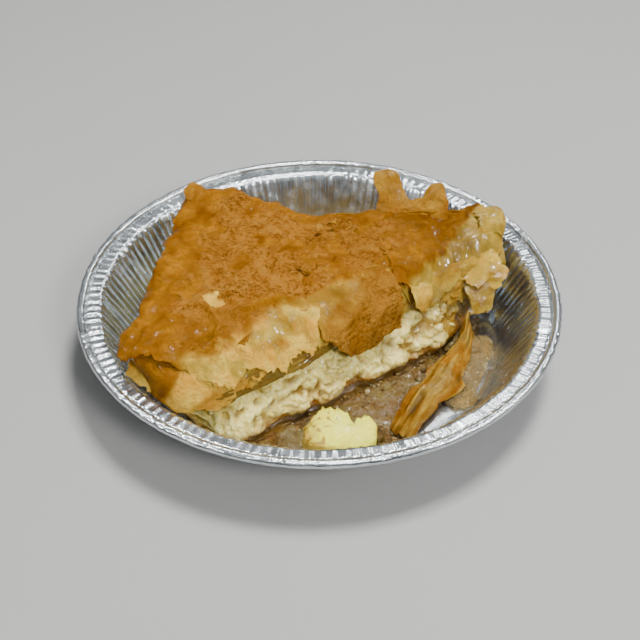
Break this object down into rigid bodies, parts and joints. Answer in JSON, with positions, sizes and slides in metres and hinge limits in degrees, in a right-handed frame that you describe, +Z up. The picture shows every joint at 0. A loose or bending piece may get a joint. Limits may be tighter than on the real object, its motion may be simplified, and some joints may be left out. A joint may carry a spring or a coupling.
{
  "type": "galaktoboureko slice in a foil dish",
  "caption": "Cut triangular piece of syrup-soaked custard phyllo pie with a browned flaky skin and folded pale sheets, lying with a fallen lump and strip in a round pleated foil dish.",
  "frame": {"origin": "middle of the dish's flat underside", "axes": "+Z up; -Y towards the viewer of the picture; +X to the viewer's right"},
  "size_m": [0.15, 0.15, 0.0422],
  "materials": {
    "foil": "bright pleated household foil",
    "soaked_pastry": "syrup-wet bottom phyllo",
    "custard": "moist curdled semolina custard",
    "browned_pastry": "baked phyllo with a thin syrup glaze"
  },
  "bodies": {
    "root": {"foil_dish": "foil", "pastry_base": "soaked_pastry", "custard_filling": "custard", "pastry_top": "browned_pastry", "pastry_strip": "browned_pastry", "custard_lump": "custard"}
  },
  "joints": []
}
